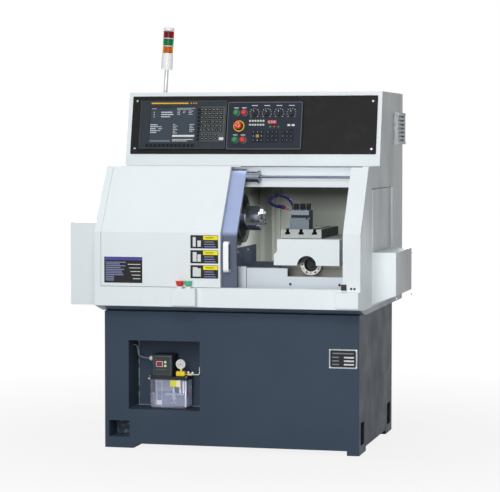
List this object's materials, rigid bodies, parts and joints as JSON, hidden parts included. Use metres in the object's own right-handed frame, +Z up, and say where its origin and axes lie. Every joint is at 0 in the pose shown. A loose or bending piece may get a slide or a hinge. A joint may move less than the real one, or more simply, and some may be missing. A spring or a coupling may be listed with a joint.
{
  "type": "compact cnc lathe",
  "caption": "Enclosed compact lathe with dark base, sliding door, tilted control head, light tower, belt-driven spindle with jaw chuck and T-slot cross slide.",
  "frame": {"origin": "on the floor, middle of the four floor bolts", "axes": "+Z up, -Y towards the operator at the door, +X to the operator's right along the spindle"},
  "size_m": [1.547, 1.189, 1.9795],
  "materials": {
    "dark_paint": "satin dark blue-grey enamel",
    "white_paint": "satin off-white enamel",
    "chamber_paint": "satin pale grey enamel",
    "black_panel": "matt black print on sheet",
    "display_grey": "moulded dark grey bezel",
    "operator_black": "dark film on plate",
    "bright_metal": "bright turned steel",
    "white_plastic": "moulded white",
    "amber_lens": "translucent amber",
    "green_lens": "translucent green",
    "red_lens": "translucent red",
    "clear_tank": "clear moulded tank with oil",
    "pump_black": "moulded black housing",
    "gauge_metal": "brass and white dial",
    "cable_rubber": "pale sheath",
    "slide_blue": "painted casting",
    "guard_grey": "pale satin sheet",
    "motor_grey": "grey enamel",
    "belt_rubber": "ribbed belt",
    "machined_steel": "turned steel",
    "pulley_alloy": "turned alloy",
    "cast_grey": "machined casting",
    "ground_iron": "ground top",
    "post_steel": "blued steel",
    "hose_blue": "segmented plastic",
    "door_blue": "satin blue-grey enamel",
    "window_clear": "clear sheet",
    "button_green": "moulded green",
    "button_red": "moulded red",
    "knob_black": "moulded black"
  },
  "bodies": {
    "machine": {"base_cabinet": "dark_paint", "drip_tray": "white_paint", "left_wall": "white_paint", "right_wall": "white_paint", "front_cover": "white_paint", "roof_panel": "white_paint", "rear_wall": "chamber_paint", "headstock_partition": "chamber_paint", "electrical_cabinet": "white_paint", "side_vent": "white_paint", "side_access_panel": "white_paint", "left_end_cover": "white_paint", "right_end_cover": "white_paint", "control_panel": "black_panel", "display_unit": "display_grey", "operator_panel": "operator_black", "tower_pole": "bright_metal", "tower_housing": "white_plastic", "tower_lens_amber": "amber_lens", "tower_lens_green": "green_lens", "tower_lens_red": "red_lens", "lube_tank": "clear_tank", "lube_pump": "pump_black", "lube_gauge": "gauge_metal", "lube_cable": "cable_rubber", "bed": "slide_blue", "bed_guards": "guard_grey", "headstock": "slide_blue", "drive_motors": "motor_grey", "drive_belt": "belt_rubber", "door_rail": "bright_metal"},
    "spindle": {"spindle": "machined_steel", "spindle_pulley": "pulley_alloy", "chuck_body": "machined_steel"},
    "motor_rotor": {"motor_pulley": "pulley_alloy"},
    "jaw_1": {"chuck_jaw_1": "machined_steel"},
    "jaw_2": {"chuck_jaw_2": "machined_steel"},
    "jaw_3": {"chuck_jaw_3": "machined_steel"},
    "carriage": {"saddle": "cast_grey", "saddle_cover": "white_paint"},
    "z_screw": {"z_ballscrew": "bright_metal"},
    "cross": {"cross_slide": "ground_iron", "tool_post": "post_steel", "coolant_hose": "hose_blue"},
    "x_screw": {"x_ballscrew": "bright_metal"},
    "door": {"door_panel": "door_blue", "door_window": "window_clear", "door_handle": "white_plastic", "door_bushings": "bright_metal"},
    "start": {"start_button": "button_green"},
    "hold": {"hold_button": "button_red"},
    "estop": {"estop_button": "button_red"},
    "button_1": {"panel_button_1": "button_green"},
    "button_2": {"panel_button_2": "button_red"},
    "button_3": {"panel_button_3": "button_green"},
    "button_4": {"panel_button_4": "button_red"},
    "knob_1": {"knob_1": "knob_black"},
    "knob_2": {"knob_2": "knob_black"},
    "knob_3": {"knob_3": "knob_black"},
    "knob_4": {"knob_4": "knob_black"}
  },
  "joints": [
    {"name": "spindle_spin", "type": "hinge", "parent": "machine", "child": "spindle", "pos_m": [0, -0.14, 1.06], "axis": [1, 0, 0], "continuous": true},
    {"name": "motor_spin", "type": "hinge", "parent": "machine", "child": "motor_rotor", "pos_m": [-0.48, 0.1125, 1.017], "axis": [1, 0, 0], "continuous": true},
    {"name": "jaw_1_slide", "type": "slide", "parent": "spindle", "child": "jaw_1", "axis": [0, 0, 1], "range_m": [-0.005, 0.005]},
    {"name": "jaw_2_slide", "type": "slide", "parent": "spindle", "child": "jaw_2", "axis": [0, -0.866, -0.5], "range_m": [-0.005, 0.005]},
    {"name": "jaw_3_slide", "type": "slide", "parent": "spindle", "child": "jaw_3", "axis": [0, 0.866, -0.5], "range_m": [-0.005, 0.005]},
    {"name": "carriage_z", "type": "slide", "parent": "machine", "child": "carriage", "axis": [1, 0, 0], "range_m": [-0.09, 0.1]},
    {"name": "z_screw_turn", "type": "hinge", "parent": "machine", "child": "z_screw", "pos_m": [0.35, -0.06, 0.784], "axis": [1, 0, 0], "range_deg": [-3250, 3610]},
    {"name": "cross_x", "type": "slide", "parent": "carriage", "child": "cross", "axis": [0, 1, 0], "range_m": [-0.06, 0.15]},
    {"name": "x_screw_turn", "type": "hinge", "parent": "carriage", "child": "x_screw", "pos_m": [0.356, -0.1, 0.8583], "axis": [0, 1, 0], "range_deg": [-2170, 5410]},
    {"name": "door_slide", "type": "slide", "parent": "machine", "child": "door", "axis": [1, 0, 0], "range_m": [0, 0.505]},
    {"name": "start_press", "type": "slide", "parent": "machine", "child": "start", "axis": [0, 0, -1], "range_m": [0, 0.004], "stiffness_N_per_m": 600},
    {"name": "hold_press", "type": "slide", "parent": "machine", "child": "hold", "axis": [0, 0, -1], "range_m": [0, 0.004], "stiffness_N_per_m": 600},
    {"name": "estop_press", "type": "slide", "parent": "machine", "child": "estop", "axis": [0, 0.9772, -0.2122], "range_m": [0, 0.005], "stiffness_N_per_m": 800},
    {"name": "button_1_press", "type": "slide", "parent": "machine", "child": "button_1", "axis": [0, 0.9772, -0.2122], "range_m": [0, 0.003], "stiffness_N_per_m": 400},
    {"name": "button_2_press", "type": "slide", "parent": "machine", "child": "button_2", "axis": [0, 0.9772, -0.2122], "range_m": [0, 0.003], "stiffness_N_per_m": 400},
    {"name": "button_3_press", "type": "slide", "parent": "machine", "child": "button_3", "axis": [0, 0.9772, -0.2122], "range_m": [0, 0.003], "stiffness_N_per_m": 400},
    {"name": "button_4_press", "type": "slide", "parent": "machine", "child": "button_4", "axis": [0, 0.9772, -0.2122], "range_m": [0, 0.003], "stiffness_N_per_m": 400},
    {"name": "knob_1_turn", "type": "hinge", "parent": "machine", "child": "knob_1", "pos_m": [0.01, -0.00335, 1.55489], "axis": [0, -0.9772, 0.2122], "range_deg": [-135, 135]},
    {"name": "knob_2_turn", "type": "hinge", "parent": "machine", "child": "knob_2", "pos_m": [0.07, -0.00335, 1.55489], "axis": [0, -0.9772, 0.2122], "range_deg": [-135, 135]},
    {"name": "knob_3_turn", "type": "hinge", "parent": "machine", "child": "knob_3", "pos_m": [0.13, -0.00335, 1.55489], "axis": [0, -0.9772, 0.2122], "range_deg": [-135, 135]},
    {"name": "knob_4_turn", "type": "hinge", "parent": "machine", "child": "knob_4", "pos_m": [0.19, -0.00335, 1.55489], "axis": [0, -0.9772, 0.2122], "range_deg": [-135, 135]}
  ],
  "couplings": [
    {"joint": "motor_spin", "follows": "spindle_spin", "ratio": 1.4},
    {"joint": "jaw_2_slide", "follows": "jaw_1_slide", "ratio": 1},
    {"joint": "jaw_3_slide", "follows": "jaw_1_slide", "ratio": 1},
    {"joint": "z_screw_turn", "follows": "carriage_z", "rad_per_m": 628.32},
    {"joint": "x_screw_turn", "follows": "cross_x", "rad_per_m": 628.32}
  ]
}
